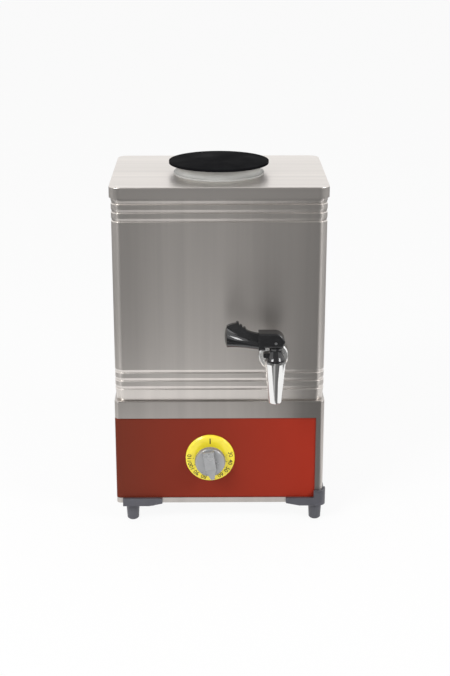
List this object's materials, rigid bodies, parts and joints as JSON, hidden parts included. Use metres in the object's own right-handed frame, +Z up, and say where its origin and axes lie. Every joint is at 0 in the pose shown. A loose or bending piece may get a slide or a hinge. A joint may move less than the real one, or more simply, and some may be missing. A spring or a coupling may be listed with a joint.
{
  "type": "tea urn",
  "caption": "Square stainless tea urn on a red-fronted heated base, with a black lever tap over a chrome spout, a yellow thermostat dial, moulded feet and a lift-off lid.",
  "frame": {"origin": "on the table plane, under the middle of the box round the whole urn with its tap and its cable gland", "axes": "+Z up, +X to the right of someone facing the tap and the dial, -Y out of the front"},
  "size_m": [0.2364, 0.2466, 0.3959],
  "materials": {
    "satin_steel": "satin polished stainless sheet with faint upright grain",
    "red_enamel": "glossy enamel",
    "zinc_plate": "dull zinc plate",
    "foot_plastic": "moulded, fine grain",
    "fastener_steel": "bright machined",
    "lid_black": "moulded phenolic, glossy",
    "seal_grey": "pale silicone, matte",
    "dial_yellow": "glossy printed plastic",
    "knob_grey": "moulded, satin",
    "phenolic_brown": "moulded phenolic",
    "tap_chrome": "polished plate",
    "gasket_rubber": "matte",
    "plain_brass": "turned",
    "tap_black": "moulded phenolic, glossy",
    "element_sheath": "dark nickel alloy",
    "capillary_copper": "bare copper",
    "cutout_can": "pressed",
    "wire_brown": "sleeved wire",
    "wire_blue": "sleeved wire",
    "wire_green": "sleeved wire",
    "gland_black": "moulded nylon"
  },
  "bodies": {
    "urn": {"base_shell": "satin_steel", "tank_shell": "satin_steel", "tank_floor": "satin_steel", "top_deck": "satin_steel", "front_panel": "red_enamel", "bottom_plate": "zinc_plate", "front_left_foot": "foot_plastic", "front_right_foot": "foot_plastic", "rear_left_foot": "foot_plastic", "rear_right_foot": "foot_plastic", "foot_screws": "fastener_steel", "foot_nuts": "fastener_steel", "thermostat_screws": "fastener_steel", "element_nuts": "fastener_steel", "tap_spring": "fastener_steel", "dial_ring": "dial_yellow", "thermostat_body": "phenolic_brown", "terminal_block": "phenolic_brown", "tap_body": "tap_chrome", "tap_escutcheon": "tap_chrome", "tap_gaskets": "gasket_rubber", "tap_nut": "plain_brass", "element_bushes": "plain_brass", "sensor_pocket": "plain_brass", "tap_bonnet": "tap_black", "heating_element": "element_sheath", "sensor_bulb": "capillary_copper", "sensor_capillary": "capillary_copper", "thermal_cutout": "cutout_can", "live_wire": "wire_brown", "switched_wire": "wire_brown", "cutout_wire": "wire_brown", "neutral_wire": "wire_blue", "earth_wire": "wire_green", "cable_gland": "gland_black", "gland_nut": "gland_black"},
    "lid": {"lid_disc": "lid_black", "lid_seal": "seal_grey"},
    "knob": {"control_knob": "knob_grey", "thermostat_shaft": "fastener_steel"},
    "stem": {"tap_stem": "fastener_steel", "tap_seat_cup": "gasket_rubber"},
    "lever": {"tap_lever": "tap_black", "lever_pin": "fastener_steel"}
  },
  "joints": [
    {"name": "lid_lift", "type": "slide", "parent": "urn", "child": "lid", "axis": [0, 0, 1], "range_m": [0, 0.15]},
    {"name": "knob_turn", "type": "hinge", "parent": "urn", "child": "knob", "pos_m": [-0.0105, -0.0671, 0.076], "axis": [0, 1, 0], "range_deg": [-172, 98]},
    {"name": "stem_lift", "type": "slide", "parent": "urn", "child": "stem", "axis": [0, 0, 1], "range_m": [0, 0.0033], "stiffness_N_per_m": 1000, "springref_m": -0.002, "deforming": ["tap_spring"]},
    {"name": "lever_tilt", "type": "hinge", "parent": "stem", "child": "lever", "pos_m": [0.0583, -0.1117, 0.2273], "axis": [0, -1, 0], "range_deg": [0, 22]}
  ],
  "couplings": [
    {"joint": "lever_tilt", "follows": "stem_lift", "rad_per_m": 114.94}
  ]
}
